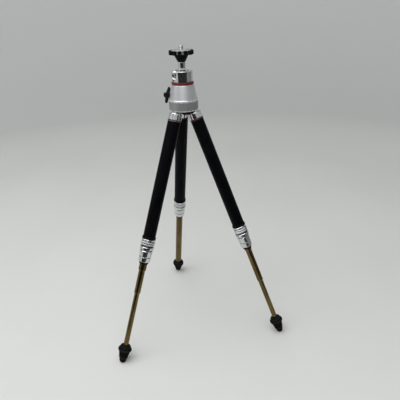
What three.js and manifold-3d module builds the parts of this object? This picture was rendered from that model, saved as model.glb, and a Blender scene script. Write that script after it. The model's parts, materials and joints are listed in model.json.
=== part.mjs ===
// Compact camera tripod with a ball head. Millimetres, +Z up, the floor is z = 0.
// The head axis is vertical; three legs hinge on a hub under the head and spread outwards.
import * as THREE from "three";
import { mergeVertices } from "three/addons/utils/BufferGeometryUtils.js";
import Module from "manifold-3d";

const wasm = await Module();
wasm.setup();

// Driving dimensions.
const RAD = Math.PI / 180;
const GAP = 0.3; // between pieces that touch in use
const LEG_AZIMUTHS = { rear: 90, left: 210, right: 330 };
const SPREAD = 20.6 * RAD; // each leg from the vertical
const PIN_CIRCLE = 12.2; // radius of the three leg pins round the head axis
const PIN_HEIGHT = 350.5;
const LEG_TUBE_RADIUS = 8.75;
const FLANGE_RADIUS = 9.9;
const FOOT_TIP_RADIUS = 5;
const SOLE_CUT = 0.4; // how much of the round foot tip the floor takes off

// Facets of a full turn.
const WIDE = 32;
const ROUND = 18;
const FINE = 12;

// ---------------------------------------------------------------- shapes

// A body of revolution about Z. The profile is a list of [radius, z], anticlockwise: up the
// outside. It starts and ends on the axis, or is closed here.
function turned(profile, segments = ROUND) {
  const points = profile.map(([radius, z]) => new THREE.Vector2(radius, z));
  const startsOnAxis = profile[0][0] === 0;
  if (!startsOnAxis) points.push(points[0].clone());
  return new THREE.LatheGeometry(points, segments).rotateX(Math.PI / 2);
}

function tube(outer, inner, bottom, top, segments = ROUND) {
  return turned([[inner, bottom], [outer, bottom], [outer, top], [inner, top]], segments);
}

function rod(radius, bottom, top, segments = ROUND) {
  return turned([[0, bottom], [radius, bottom], [radius, top], [0, top]], segments);
}

// A plate in the XZ plane, centred on y = 0.
function plate(outline, thickness) {
  const shape = new THREE.Shape(outline.map(([x, z]) => new THREE.Vector2(x, z)));
  const options = { depth: thickness, bevelEnabled: false };
  return new THREE.ExtrudeGeometry(shape, options)
    .translate(0, 0, -thickness / 2)
    .rotateX(Math.PI / 2);
}

function block(size, centre) {
  return new THREE.BoxGeometry(...size).translate(...centre);
}

function asSolid(geometry) {
  const bare = geometry.clone();
  bare.deleteAttribute("normal");
  bare.deleteAttribute("uv");
  const merged = mergeVertices(bare, 1e-4);
  return new wasm.Manifold(
    new wasm.Mesh({
      numProp: 3,
      vertProperties: merged.attributes.position.array,
      triVerts: new Uint32Array(merged.index.array),
    }),
  );
}

function asGeometry(solid) {
  const mesh = solid.getMesh();
  const geometry = new THREE.BufferGeometry();
  geometry.setAttribute("position", new THREE.BufferAttribute(mesh.vertProperties, 3));
  geometry.setIndex(new THREE.BufferAttribute(mesh.triVerts, 1));
  const flat = geometry.toNonIndexed();
  flat.computeVertexNormals();
  return flat;
}

function joined(...geometries) {
  return asGeometry(geometries.map(asSolid).reduce((sum, next) => sum.add(next)));
}

function cut(body, ...tools) {
  return asGeometry(tools.map(asSolid).reduce((rest, tool) => rest.subtract(tool), asSolid(body)));
}

// Moves a shape drawn along Z so that its axis lies along a radius at an azimuth and a height.
function alongRadius(geometry, azimuth, height) {
  return geometry
    .rotateY(Math.PI / 2)
    .rotateZ(azimuth * RAD)
    .translate(0, 0, height);
}

// ---------------------------------------------------------------- materials

const FINISHES = {
  blackPlastic: [0x0e0f10, 0.55, 0.0],
  blackEnamel: [0x0b0b0d, 0.35, 0.1],
  blackMetal: [0x17181a, 0.5, 0.6],
  chrome: [0xc9cbcc, 0.15, 1.0],
  satinSilver: [0x9a9c9d, 0.42, 0.8],
  steel: [0x8d9093, 0.35, 0.9],
  brass: [0x8a6b3a, 0.35, 0.9],
  redFibre: [0x6e1219, 0.5, 0.1],
  darkRed: [0x3d0c10, 0.5, 0.1],
  rubber: [0x141414, 0.9, 0.0],
};

const group = new THREE.Group();

function addPiece(parent, name, geometry, finish) {
  const [color, roughness, metalness] = FINISHES[finish];
  const material = new THREE.MeshStandardMaterial({ color, roughness, metalness });
  const mesh = new THREE.Mesh(geometry, material);
  mesh.name = name;
  parent.add(mesh);
  return mesh;
}

// ---------------------------------------------------------------- leg frame

// A leg is drawn upright: its pin is the origin, +X points away from the head axis and the leg
// hangs down -Z. "s" below is the distance from the pin down the leg, so z = -s.
function legMatrix(azimuth, lean) {
  const turn = new THREE.Matrix4().makeRotationZ(azimuth * RAD);
  const out = new THREE.Matrix4().makeTranslation(PIN_CIRCLE, 0, PIN_HEIGHT);
  const tilt = new THREE.Matrix4().makeRotationY(-lean);
  return turn.multiply(out).multiply(tilt);
}

// Distances down the leg.
const COLLAR = { top: 5.2, bottom: 14, radius: 9 };
const RING = { top: 14.3, bottom: 15.9 };
const TUBE = { top: 16.2, bottom: 180.4, bore: 7.9 };
const LOCK = { plugTop: 168, flangeTop: 180.7, flangeBottom: 182.9, spigotBottom: 200 };
const SLEEVE = {
  top: 183.2,
  bandBottom: 190.4, // knurled grip
  bandRadius: 9.6,
  flangeTop: 192,
  flangeBottom: 196.4,
  grooveRadius: 8.7, // above and below the flange
  coneTop: 197.4,
  coneRadius: 9.1,
  bottom: 214.5,
  bottomRadius: 8.3,
};
const COLLET = { top: 200.4, shoulder: 203.2, bottom: 211.6, radius: 7.5, tipRadius: 6.1 };
const WIPER = { top: 214.8, bottom: 217.8 };
const BRASS_BORE = 5.8; // hole in the lock for the widest brass tube
const BRASS = [
  { outer: 5.5, inner: 4.8, length: 185 },
  { outer: 4.5, inner: 3.95, length: 175 },
  { outer: 3.65, inner: 2.9, length: 180 },
];
const FOOT_TOP = 345.5;
const FOOT_SOCKET = 14; // depth of the hole that takes the thinnest tube
// Where the lower ends of the first and second brass tubes stand on each leg.
const BRASS_ENDS = { rear: [342.5, 344], left: [227.7, 263.1], right: [221.4, 276.1] };

const TONGUE = { width: 5.4, radius: 3, bore: 1.7 };
const PIN = { radius: 1.4, length: 14.4 };

// ---------------------------------------------------------------- leg pieces

function legPin() {
  return rod(PIN.radius, -PIN.length / 2, PIN.length / 2, FINE).rotateX(Math.PI / 2);
}

function legCap() {
  const plugRadius = TUBE.bore - GAP;
  const plugBottom = 24;
  const edge = 0.8;
  const collar = turned([
    [0, -plugBottom],
    [plugRadius, -plugBottom],
    [plugRadius, -COLLAR.bottom],
    [COLLAR.radius, -COLLAR.bottom],
    [COLLAR.radius, -COLLAR.top - edge],
    [COLLAR.radius - edge, -COLLAR.top],
    [0, -COLLAR.top],
  ]);
  const across = new THREE.Matrix4().makeRotationX(Math.PI / 2);
  const eye = rod(TONGUE.radius, -TONGUE.width / 2, TONGUE.width / 2, FINE).applyMatrix4(across);
  const neck = block([2 * TONGUE.radius, TONGUE.width, COLLAR.top + 1], [0, 0, -(COLLAR.top + 1) / 2]);
  const hole = rod(TONGUE.bore, -TONGUE.width, TONGUE.width, FINE).applyMatrix4(across);
  return cut(joined(collar, eye, neck), hole);
}

// The black tube is swaged out at its lower end, where the lock screws in.
function legTube() {
  const flare = { radius: 9.7, length: 1.6, taper: 0.9 };
  return turned([
    [TUBE.bore, -TUBE.bottom],
    [flare.radius, -TUBE.bottom],
    [flare.radius, -TUBE.bottom + flare.length],
    [LEG_TUBE_RADIUS, -TUBE.bottom + flare.length + flare.taper],
    [LEG_TUBE_RADIUS, -TUBE.top],
    [TUBE.bore, -TUBE.top],
  ]);
}

function lockBody() {
  const plug = TUBE.bore - GAP;
  return turned([
    [BRASS_BORE, -LOCK.spigotBottom],
    [plug, -LOCK.spigotBottom],
    [plug, -LOCK.flangeBottom],
    [FLANGE_RADIUS, -LOCK.flangeBottom],
    [FLANGE_RADIUS, -LOCK.flangeTop],
    [plug, -LOCK.flangeTop],
    [plug, -LOCK.plugTop],
    [BRASS_BORE, -LOCK.plugTop],
  ]);
}

function lockSleeve() {
  const throat = COLLET.tipRadius + 0.2;
  return turned([
    [throat, -SLEEVE.bottom],
    [SLEEVE.bottomRadius, -SLEEVE.bottom],
    [SLEEVE.coneRadius, -SLEEVE.coneTop],
    [SLEEVE.grooveRadius, -SLEEVE.coneTop + 0.2],
    [SLEEVE.grooveRadius, -SLEEVE.flangeBottom],
    [FLANGE_RADIUS, -SLEEVE.flangeBottom],
    [FLANGE_RADIUS, -SLEEVE.flangeTop],
    [SLEEVE.grooveRadius, -SLEEVE.flangeTop],
    [SLEEVE.grooveRadius, -SLEEVE.bandBottom],
    [SLEEVE.bandRadius, -SLEEVE.bandBottom],
    [SLEEVE.bandRadius, -SLEEVE.top],
    [TUBE.bore, -SLEEVE.top],
    [TUBE.bore, -COLLET.shoulder],
    [throat, -COLLET.bottom - 0.4],
  ]);
}

function lockCollet() {
  const ring = turned([
    [BRASS_BORE, -COLLET.bottom],
    [COLLET.tipRadius, -COLLET.bottom],
    [COLLET.radius, -COLLET.shoulder],
    [COLLET.radius, -COLLET.top],
    [BRASS_BORE, -COLLET.top],
  ]);
  const slit = block([4, 1, 14], [COLLET.radius, 0, -(COLLET.top + COLLET.bottom) / 2]);
  return cut(ring, slit);
}

// The widest tube carries a guide collar at its top, which stops it in the leg tube.
function brassTube({ outer, inner, length }, guide) {
  if (!guide) return tube(outer, inner, 0, length);
  return turned([
    [inner, 0],
    [outer, 0],
    [outer, length - guide.height],
    [guide.radius, length - guide.height],
    [guide.radius, length],
    [inner, length],
  ]);
}

function foot() {
  const centre = (PIN_HEIGHT - FOOT_TIP_RADIUS + SOLE_CUT) / Math.cos(SPREAD);
  const bore = BRASS[2].outer + GAP;
  const tip = [0, 30, 60].map((degrees) => [
    FOOT_TIP_RADIUS * Math.sin(degrees * RAD),
    -centre - FOOT_TIP_RADIUS * Math.cos(degrees * RAD),
  ]);
  // Distances below the top of the foot, and the radius there. The widest pair is its bead.
  const lower = [[20, 6.4], [13, 7.6], [9.3, 8.3]];
  const bead = [[8.5, 9.9], [6, 9.9]];
  const upper = [[5, 8], [3, 7.8], [1.2, 7], [0, 5.6]];
  const moulding = [...lower, ...bead, ...upper];
  const body = turned([
    ...tip,
    [FOOT_TIP_RADIUS + 0.2, -centre + 1],
    ...moulding.map(([below, radius]) => [radius, -FOOT_TOP - below]),
    [bore, -FOOT_TOP],
    [bore, -FOOT_TOP - FOOT_SOCKET - GAP],
    [0, -FOOT_TOP - FOOT_SOCKET - GAP],
  ]);
  const floor = block([60, 60, 20], [PIN_CIRCLE + PIN_HEIGHT * Math.tan(SPREAD), 0, -10]);
  return cut(body, floor.applyMatrix4(legMatrix(0, SPREAD).invert()));
}

const legShapes = {
  pin: legPin(),
  cap: legCap(),
  ring: tube(9.05, TUBE.bore, -RING.bottom, -RING.top),
  tube: legTube(),
  lockBody: lockBody(),
  lockCollet: lockCollet(),
  lockSleeve: lockSleeve(),
  lockWiper: tube(6.6, BRASS_BORE, -WIPER.bottom, -WIPER.top),
  brass: BRASS.map((size, i) => brassTube(size, i === 0 ? { radius: 7.5, height: 3 } : null)),
  foot: foot(),
};

function addLeg(name, azimuth) {
  const leg = new THREE.Group();
  leg.applyMatrix4(legMatrix(azimuth, SPREAD));
  group.add(leg);
  addPiece(leg, `leg_pin_${name}`, legShapes.pin, "steel");
  addPiece(leg, `leg_cap_${name}`, legShapes.cap, "chrome");
  addPiece(leg, `leg_ring_${name}`, legShapes.ring, "darkRed");
  addPiece(leg, `leg_tube_${name}`, legShapes.tube, "blackEnamel");
  addPiece(leg, `lock_body_${name}`, legShapes.lockBody, "chrome");
  addPiece(leg, `lock_collet_${name}`, legShapes.lockCollet, "brass");
  addPiece(leg, `lock_sleeve_${name}`, legShapes.lockSleeve, "chrome");
  addPiece(leg, `lock_wiper_${name}`, legShapes.lockWiper, "blackPlastic");
  const tubeEnds = [...BRASS_ENDS[name], FOOT_TOP + FOOT_SOCKET];
  tubeEnds.forEach((end, i) => {
    const brass = addPiece(leg, `brass_tube_${i + 1}_${name}`, legShapes.brass[i], "brass");
    brass.position.z = -end;
  });
  addPiece(leg, `foot_${name}`, legShapes.foot, "rubber");
}

// ---------------------------------------------------------------- head dimensions

const HOUSING = { bottom: 348.5, shoulder: 362.8, top: 381.7, bandRadius: 19.4, topRadius: 14.7 };
const SEAT = { shelf: 361.5, hubCeiling: 357.5, hubBore: 16.6, nutBore: 13.2 };
const SPIGOT_RADIUS = 9.2; // turning part of the socket inside the housing
const RED_RING = { radius: 14.6, bottom: 382, top: 385 };
const SOCKET = { bottom: 385.3, top: 399, radius: 13.5 };
const BALL = { radius: 9, height: 392.3 };
const CAVITY = BALL.radius + GAP;
const BALL_TILT = 15; // how far the ball swings either side of its slot
const CUP = { outer: 10.5, rim: -54, bore: -72 }; // a shell under the ball, between two latitudes
const POCKET = CUP.outer + GAP;
const SPRING = { bottom: 377, top: 382, inner: 3.4, outer: 5.6, edge: 4.2, gauge: 0.8 };
const PAN_SCREW = { radius: 3, top: 375, bottom: 355.2, headRadius: 5.6, headTop: 358.7 };
const WASHER = { radius: 12.6, bottom: 359 };
const STEM = { radius: 4.7, topRadius: 5.1, top: 409.7 };
const STUD = { radius: 3.175, bottom: 401, top: 429.6 };
const STAR = { bottom: 410, rim: 418.7, top: 423.9, radius: 15.9, coneRadius: 9.6 };
const TEETH = { count: 12, notch: 2.7, turned: 11.8 };
const PLATE = { radius: 12.4, bottom: 419.6, top: 424 };
const SLOT = { azimuth: 201, halfWidth: 5.4 };
const WING = { azimuth: 150, height: 367, turned: 42, tip: 11.2, shaft: 2.2, boss: 3.2, end: 26.8 };
const WINGS = { root: 19.7, halfSpan: 12.2, height: 4.8, thickness: 3.4 };
const SET_SCREW = { azimuth: 265, height: 379.3 };
const HUB = { radius: 16.3, bottom: 346.2, top: 357.2, lobeRadius: 8, lobeHeight: 351.5 };
const LOBE_AZIMUTHS = [30, 150, 270];
const HUB_SCREW = { circle: 14.7, radius: 1.1, bottom: 343.7, top: 360.5, headRadius: 1.8, headHeight: 1.6 };

// ---------------------------------------------------------------- housing and hub

function housing() {
  const spigotBore = SPIGOT_RADIUS + GAP;
  const shell = turned(
    [
      [spigotBore, SEAT.shelf],
      [SEAT.nutBore, SEAT.shelf],
      [SEAT.nutBore, SEAT.hubCeiling],
      [SEAT.hubBore, SEAT.hubCeiling],
      [SEAT.hubBore, HOUSING.bottom],
      [HOUSING.bandRadius - 1.2, HOUSING.bottom],
      [HOUSING.bandRadius, HOUSING.bottom + 1.2],
      [HOUSING.bandRadius, HOUSING.shoulder - 0.6],
      [HOUSING.bandRadius - 0.6, HOUSING.shoulder],
      [HOUSING.topRadius, HOUSING.top],
      [spigotBore, HOUSING.top],
    ],
    WIDE,
  );
  const wingHole = alongRadius(rod(WING.shaft + 0.4, 8, 24, FINE), WING.azimuth, WING.height);
  const setHole = alongRadius(rod(1.5, 8, 24, FINE), SET_SCREW.azimuth, SET_SCREW.height);
  const screwHoles = LOBE_AZIMUTHS.map((azimuth) =>
    rod(HUB_SCREW.radius + GAP, 350, HUB_SCREW.top + GAP, FINE)
      .translate(HUB_SCREW.circle, 0, 0)
      .rotateZ(azimuth * RAD),
  );
  return cut(shell, wingHole, setHole, ...screwHoles);
}

// The room each leg collar sweeps between folded and spread.
function collarSweep(azimuth) {
  const clearance = 0.6;
  const steps = 4;
  return Array.from({ length: steps + 1 }, (_, i) =>
    rod(COLLAR.radius + clearance, -COLLAR.bottom - 6, -COLLAR.top + clearance, ROUND).applyMatrix4(
      legMatrix(azimuth, (SPREAD * i) / steps),
    ),
  );
}

function legHub() {
  const disc = rod(HUB.radius, HUB.bottom, HUB.top, WIDE);
  const lobes = LOBE_AZIMUTHS.map((azimuth) =>
    alongRadius(rod(HUB.lobeRadius, 9, HUB.radius - 0.4, ROUND), azimuth, HUB.lobeHeight),
  );
  const [under, over] = [330, 380]; // heights well clear of the hub
  const beyond = 40;
  const trim = tube(beyond, HUB.radius, under, over, WIDE);
  const above = rod(beyond, HUB.top, over, ROUND);
  const screwRoom = rod(PAN_SCREW.headRadius + 0.8, PAN_SCREW.bottom - 0.6, over, ROUND);
  const cuts = [trim, above, screwRoom];
  for (const azimuth of Object.values(LEG_AZIMUTHS)) {
    const slotInner = PIN_CIRCLE - TONGUE.radius - 0.6;
    const slotLength = 20 - slotInner;
    const slot = block(
      [slotLength, TONGUE.width + 2 * GAP, 20],
      [slotInner + slotLength / 2, 0, PIN_HEIGHT + 4 - 10],
    ).rotateZ(azimuth * RAD);
    const pinLength = PIN.length / 2 + GAP;
    const pinHole = rod(PIN.radius + GAP, -pinLength, pinLength, FINE)
      .rotateX(Math.PI / 2)
      .translate(PIN_CIRCLE, 0, PIN_HEIGHT)
      .rotateZ(azimuth * RAD);
    cuts.push(slot, pinHole, ...collarSweep(azimuth));
  }
  for (const azimuth of LOBE_AZIMUTHS) {
    const headTop = HUB_SCREW.bottom + HUB_SCREW.headHeight + GAP;
    const shaft = rod(HUB_SCREW.radius + GAP, under, over, FINE);
    const head = rod(HUB_SCREW.headRadius + GAP, under, headTop, FINE);
    for (const hole of [shaft, head]) {
      cuts.push(hole.translate(HUB_SCREW.circle, 0, 0).rotateZ(azimuth * RAD));
    }
  }
  return cut(joined(disc, ...lobes), ...cuts);
}

function hubScrew(azimuth) {
  const shoulder = HUB_SCREW.bottom + HUB_SCREW.headHeight;
  return turned(
    [
      [0, HUB_SCREW.bottom],
      [HUB_SCREW.headRadius, HUB_SCREW.bottom],
      [HUB_SCREW.headRadius, shoulder],
      [HUB_SCREW.radius, shoulder],
      [HUB_SCREW.radius, HUB_SCREW.top],
      [0, HUB_SCREW.top],
    ],
    FINE,
  )
    .translate(HUB_SCREW.circle, 0, 0)
    .rotateZ(azimuth * RAD);
}

// ---------------------------------------------------------------- ball and socket

function onSphere(radius, fromDegrees, toDegrees, steps) {
  return Array.from({ length: steps + 1 }, (_, i) => {
    const angle = (fromDegrees + ((toDegrees - fromDegrees) * i) / steps) * RAD;
    return [radius * Math.cos(angle), BALL.height + radius * Math.sin(angle)];
  });
}

function socket() {
  const springBore = SPRING.outer + GAP;
  const lip = 36; // latitude where the retaining lip leaves the ball
  const ledge = CUP.rim + BALL_TILT + 1.5; // latitude of the ledge over the swung cup
  const lowest = -Math.acos(springBore / POCKET) / RAD;
  const mouth = BALL.radius + 0.4;
  const springFloor = SPRING.bottom - GAP;
  const screwBore = PAN_SCREW.radius + GAP;
  const body = turned(
    [
      [screwBore, SEAT.shelf],
      [SPIGOT_RADIUS, SEAT.shelf],
      [SPIGOT_RADIUS, SOCKET.bottom],
      [SOCKET.radius, SOCKET.bottom],
      [SOCKET.radius, SOCKET.top - 0.5],
      [SOCKET.radius - 0.5, SOCKET.top],
      [mouth, SOCKET.top],
      ...onSphere(CAVITY, lip, ledge, 5),
      ...onSphere(POCKET, ledge, lowest, 2),
      [springBore, springFloor],
      [screwBore, springFloor],
    ],
    WIDE,
  );
  const slotRound = alongRadius(rod(SLOT.halfWidth, 0.5, 20, ROUND), SLOT.azimuth, BALL.height);
  const slotOpen = block(
    [20, 2 * SLOT.halfWidth, 20],
    [10.5, 0, BALL.height + 10],
  ).rotateZ(SLOT.azimuth * RAD);
  return cut(body, slotRound, slotOpen);
}

// The cup swings with the ball in its round pocket.
function frictionCup() {
  return turned([
    ...onSphere(CUP.outer, CUP.bore, CUP.rim, 2),
    ...onSphere(CAVITY, CUP.rim, CUP.bore, 2),
  ]);
}

// Two disc springs, rim to rim.
function cupSpring() {
  const middle = (SPRING.bottom + SPRING.top) / 2;
  const rim = 0.4; // half the height of the joined rims
  return turned([
    [SPRING.inner, SPRING.bottom],
    [SPRING.edge, SPRING.bottom],
    [SPRING.outer, middle - rim],
    [SPRING.outer, middle + rim],
    [SPRING.edge, SPRING.top],
    [SPRING.inner, SPRING.top],
    [SPRING.outer - SPRING.gauge, middle + rim / 2],
    [SPRING.outer - SPRING.gauge, middle - rim / 2],
  ]);
}

function ballStem() {
  const neck = Math.acos(STEM.radius / BALL.radius) / RAD;
  const bore = STUD.radius + GAP;
  return turned([
    ...onSphere(BALL.radius, -90, neck, 9).map(([r, z], i) => [i === 0 ? 0 : r, z]),
    [STEM.radius, 404],
    [STEM.topRadius, STEM.top],
    [bore, STEM.top],
    [bore, STUD.bottom - GAP],
    [0, STUD.bottom - GAP],
  ]);
}

function starNut() {
  const bore = STUD.radius + GAP;
  const toothRoot = PLATE.radius + GAP + 0.1;
  const body = turned(
    [
      [bore, STAR.bottom],
      [STEM.topRadius, STAR.bottom],
      [STAR.coneRadius, STAR.rim],
      [STAR.radius, STAR.rim],
      [STAR.radius, STAR.top],
      [toothRoot, STAR.top],
      [toothRoot, PLATE.bottom - GAP],
      [bore, PLATE.bottom - GAP],
    ],
    WIDE,
  );
  const pitch = 360 / TEETH.count;
  const notches = Array.from({ length: TEETH.count }, (_, i) =>
    block([10, TEETH.notch, 20], [toothRoot - 0.8 + 5, 0, STAR.rim]).rotateZ((i + 0.5) * pitch * RAD),
  );
  return cut(body, ...notches).rotateZ(TEETH.turned * RAD);
}

// Holds the turning socket down on its washer.
function panScrew() {
  return turned([
    [0, PAN_SCREW.bottom],
    [PAN_SCREW.headRadius, PAN_SCREW.bottom],
    [PAN_SCREW.headRadius, PAN_SCREW.headTop],
    [PAN_SCREW.radius, PAN_SCREW.headTop],
    [PAN_SCREW.radius, PAN_SCREW.top],
    [0, PAN_SCREW.top],
  ]);
}

// ---------------------------------------------------------------- wing screw

// Drawn with its axis along Z, tip down and wings across X.
function wingScrew() {
  const half = [
    [3, WINGS.root],
    [WINGS.halfSpan - 1.6, WINGS.root + 0.5],
    [WINGS.halfSpan, WINGS.root + 1.9],
    [WINGS.halfSpan - 0.8, WINGS.root + 3.5],
    [WING.boss, WINGS.root + WINGS.height],
  ];
  const mirrored = half.map(([x, z]) => [-x, z]).reverse();
  const wings = plate([...half, ...mirrored], WINGS.thickness);
  const shaft = rod(WING.shaft, WING.tip, WINGS.root + 0.6, FINE);
  const boss = rod(WING.boss, WINGS.root - 0.2, WING.end, FINE);
  const screw = joined(wings, shaft, boss).rotateZ(WING.turned * RAD);
  return alongRadius(screw, WING.azimuth, WING.height);
}

// ---------------------------------------------------------------- assembly

addPiece(group, "housing", housing(), "satinSilver");
addPiece(group, "leg_hub", legHub(), "blackPlastic");
LOBE_AZIMUTHS.forEach((azimuth, i) => {
  addPiece(group, `hub_screw_${i + 1}`, hubScrew(azimuth), "steel");
});
addPiece(
  group,
  "friction_ring",
  tube(RED_RING.radius, SPIGOT_RADIUS + GAP, RED_RING.bottom, RED_RING.top, WIDE),
  "redFibre",
);
addPiece(
  group,
  "set_screw",
  alongRadius(rod(1.2, 9.9, 14.7, FINE), SET_SCREW.azimuth, SET_SCREW.height),
  "blackMetal",
);
addPiece(
  group,
  "clamp_pad",
  alongRadius(rod(2.2, 9.6, 10.9, FINE), WING.azimuth, WING.height),
  "brass",
);
addPiece(group, "wing_screw", wingScrew(), "blackMetal");
addPiece(group, "ball_socket", socket(), "chrome");
addPiece(
  group,
  "pan_washer",
  tube(WASHER.radius, PAN_SCREW.radius + GAP, WASHER.bottom, SEAT.shelf - GAP),
  "steel",
);
addPiece(group, "pan_screw", panScrew(), "steel");
addPiece(group, "friction_cup", frictionCup(), "blackPlastic");
addPiece(group, "cup_spring", cupSpring(), "steel");
addPiece(group, "ball_stem", ballStem(), "chrome");
addPiece(group, "camera_stud", rod(STUD.radius, STUD.bottom, STUD.top, FINE), "chrome");
addPiece(
  group,
  "seat_plate",
  tube(PLATE.radius, STUD.radius + GAP, PLATE.bottom, PLATE.top, WIDE),
  "satinSilver",
);
addPiece(group, "star_nut", starNut(), "blackPlastic");
for (const [name, azimuth] of Object.entries(LEG_AZIMUTHS)) addLeg(name, azimuth);

// The part frame stands on the floor at the middle of the footprint's bounding box.
const footprint = new THREE.Box3().setFromObject(group, true);
group.position.y = -(footprint.min.y + footprint.max.y) / 2;

export default group;
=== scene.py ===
"""Looks of a compact camera tripod with a ball head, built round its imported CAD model.

Metres, +Z up. Every piece takes the place of one CAD node and rides on that node's body. Pieces
are drawn in a local frame: the head pieces about the head axis, with real heights, and the leg
pieces hanging down -Z from their leg's pin, with +X away from the head axis.
"""

import json
import math

import bmesh
import bpy
from mathutils import Matrix, Vector


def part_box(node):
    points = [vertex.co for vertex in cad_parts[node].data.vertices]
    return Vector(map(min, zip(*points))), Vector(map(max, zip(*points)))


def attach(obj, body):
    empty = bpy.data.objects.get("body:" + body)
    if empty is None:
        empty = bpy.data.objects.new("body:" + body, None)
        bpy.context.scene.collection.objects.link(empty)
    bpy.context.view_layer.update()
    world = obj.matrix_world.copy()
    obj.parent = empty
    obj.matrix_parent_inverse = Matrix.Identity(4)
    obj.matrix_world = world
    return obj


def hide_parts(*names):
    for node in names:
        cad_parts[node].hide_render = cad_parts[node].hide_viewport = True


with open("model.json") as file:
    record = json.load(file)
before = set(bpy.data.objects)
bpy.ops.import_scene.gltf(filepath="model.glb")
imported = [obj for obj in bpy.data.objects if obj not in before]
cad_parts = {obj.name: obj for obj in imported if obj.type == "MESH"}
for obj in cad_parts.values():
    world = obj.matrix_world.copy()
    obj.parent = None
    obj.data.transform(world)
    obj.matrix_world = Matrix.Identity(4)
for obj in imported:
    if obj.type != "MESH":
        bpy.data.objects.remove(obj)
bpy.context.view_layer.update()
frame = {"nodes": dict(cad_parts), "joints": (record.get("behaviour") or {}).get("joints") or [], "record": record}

MM = 0.001
WELD = 1e-7  # points closer than this are one point
SHARP = math.radians(38)  # edges that turn by more than this stay sharp
LEGS = ("rear", "left", "right")
JOINTS = {joint["name"]: joint for joint in frame["joints"]}
BODIES = frame["record"]["behaviour"]["bodies"]
BODY_OF = {node: body for body, nodes in BODIES.items() for node in nodes}
SLOT_OF = {part["node"]: part["material_slot"] for part in frame["record"]["subparts"]}

# Sizes that several pieces share.
SHOULDER_RISE = 14.3 * MM  # from the housing's bottom to its shoulder
SPIGOT_BORE = 9.5 * MM  # takes the socket's spigot
PAN_SCREW_BORE = 3.3 * MM
STUD_BORE = 3.475 * MM
PIN_BORE = 1.7 * MM  # takes a leg pin
TUBE_BORE = 7.9 * MM
TUBE_PLUG = 7.6 * MM  # radius of what is pushed into a leg tube
BRASS_BORE = 5.8 * MM  # takes the widest brass tube
AT_ORIGIN = Matrix.Identity(4)


# ---------------------------------------------------------------- places read from the frame


def head_place():
    """The head axis, with heights kept as they are."""
    low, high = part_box("housing")
    middle = (low + high) / 2
    return Matrix.Translation((middle.x, middle.y, 0))


HEAD = head_place()


def leg_place(leg):
    """A leg's own frame: origin at its pin, +Z up the leg."""
    pin = Vector(JOINTS[f"fold_{leg}"]["pos_m"])
    up = -Vector(JOINTS[f"upper_slide_{leg}"]["axis"]).normalized()
    across = Vector(JOINTS[f"fold_{leg}"]["axis"]).normalized()
    outward = across.cross(up)
    turn = Matrix((outward, across, up)).transposed().to_4x4()
    return Matrix.Translation(pin) @ turn


def radial_place(azimuth, height):
    """Origin on the head axis at a height, +Z out along a radius, +X down."""
    out = Vector((math.cos(azimuth), math.sin(azimuth), 0))
    down = Vector((0, 0, -1))
    turn = Matrix((down, out.cross(down), out)).transposed().to_4x4()
    return HEAD @ Matrix.Translation((0, 0, height)) @ turn


def span(node, place=HEAD):
    """(lowest height, highest height, widest radius) of a CAD node in a local frame."""
    to_local = place.inverted()
    points = [to_local @ vertex.co for vertex in frame["nodes"][node].data.vertices]
    heights = [point.z for point in points]
    return min(heights), max(heights), max(math.hypot(point.x, point.y) for point in points)


def node_azimuth(node):
    """Azimuth of the middle of a CAD node about the head axis."""
    low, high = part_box(node)
    middle = HEAD.inverted() @ ((low + high) / 2)
    return math.atan2(middle.y, middle.x)


# ---------------------------------------------------------------- mesh tools


def finished_mesh(name, bm):
    """Welds a bmesh, turns its faces outwards and shades it smooth with sharp edges kept."""
    bmesh.ops.remove_doubles(bm, verts=bm.verts, dist=WELD)
    bmesh.ops.recalc_face_normals(bm, faces=bm.faces)
    mesh = bpy.data.meshes.new(name)
    bm.to_mesh(mesh)
    bm.free()
    mesh.shade_smooth()
    mesh.set_sharp_from_angle(angle=SHARP)
    return mesh


def rounded(corners, steps=4, fade=0.35 * MM):
    """An outline with rounded corners, from [(x, y, rounding)] going anticlockwise.

    rounding is how far from the corner its curve starts. Gives [(x, y, corner mark)]: the mark is 1 on the outward
    corners, which the finishes show worn, and -1 on the inward ones, which they paint dark as dirt and as painted
    shade, and extra points beside each curve keep both close to the corner.
    """
    points = []
    for i, (x, y, rounding) in enumerate(corners):
        corner = Vector((x, y))
        before = Vector(corners[i - 1][:2]) - corner
        after = Vector(corners[(i + 1) % len(corners)][:2]) - corner
        reach = min(rounding, 0.45 * before.length, 0.45 * after.length)
        if reach == 0:
            points.append((x, y, 0.0))
            continue
        outward = before.y * after.x - before.x * after.y > 0
        wear_dirt_and_shade = 1.0 if outward else -1.0
        start = corner + before.normalized() * reach
        end = corner + after.normalized() * reach
        if before.length > 2.2 * (reach + fade):
            beside = start + before.normalized() * fade
            points.append((beside.x, beside.y, 0.0))
        for step in range(steps + 1):
            t = step / steps
            point = start * (1 - t) ** 2 + corner * 2 * t * (1 - t) + end * t**2
            points.append((point.x, point.y, wear_dirt_and_shade))
        if after.length > 2.2 * (reach + fade):
            beside = end + after.normalized() * fade
            points.append((beside.x, beside.y, 0.0))
    return points


def even_angles(count):
    return [2 * math.pi * step / count for step in range(count)]


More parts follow.
